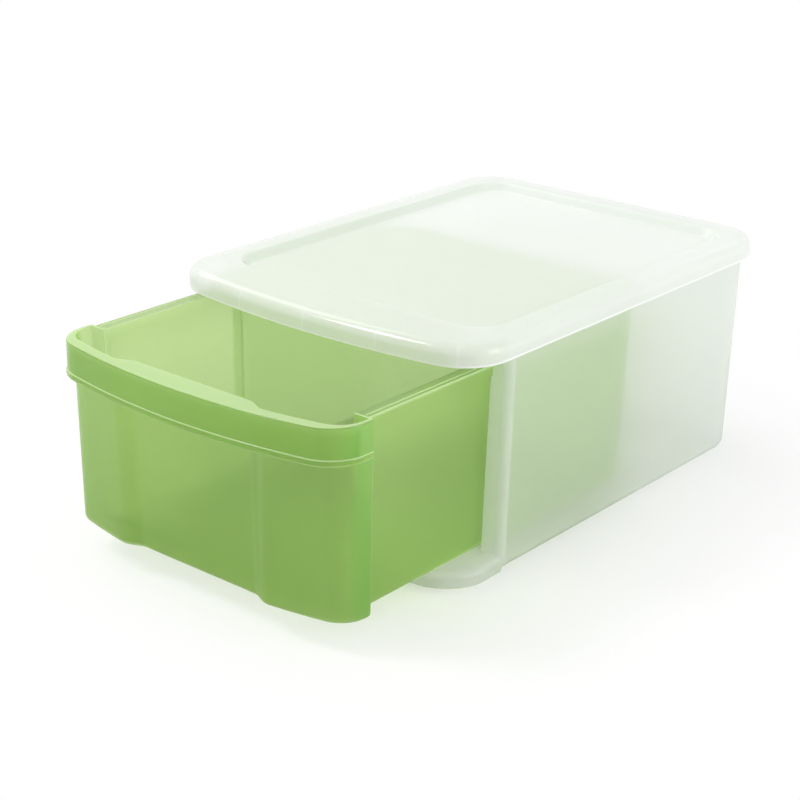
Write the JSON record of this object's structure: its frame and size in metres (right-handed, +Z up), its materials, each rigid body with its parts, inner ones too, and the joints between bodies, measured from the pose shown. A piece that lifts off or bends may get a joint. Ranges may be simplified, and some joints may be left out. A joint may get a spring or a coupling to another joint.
{
  "type": "stackable drawer box",
  "caption": "Stackable storage box with an open-fronted case, a lift-off lid with a stacking recess, and a pull-out drawer with a hanging handle band.",
  "frame": {"origin": "on the flat underside of the stacking foot, under the middle of the lid", "axes": "+X across the box to its right, +Y from the drawer's front to the back of the case, +Z up"},
  "size_m": [0.3, 0.553, 0.195],
  "materials": {
    "case": "translucent frosted polypropylene",
    "lid": "translucent frosted polypropylene",
    "drawer": "translucent green polypropylene, satin"
  },
  "bodies": {
    "case": {"case": "case"},
    "lid": {"lid": "lid"},
    "drawer": {"drawer": "drawer"}
  },
  "joints": [
    {"name": "drawer_slide", "type": "slide", "parent": "case", "child": "drawer", "axis": [0, -1, 0], "range_m": [-0.1435, 0.12]},
    {"name": "lid_lift", "type": "slide", "parent": "case", "child": "lid", "axis": [0, 0, 1], "range_m": [0, 0.25]}
  ]
}
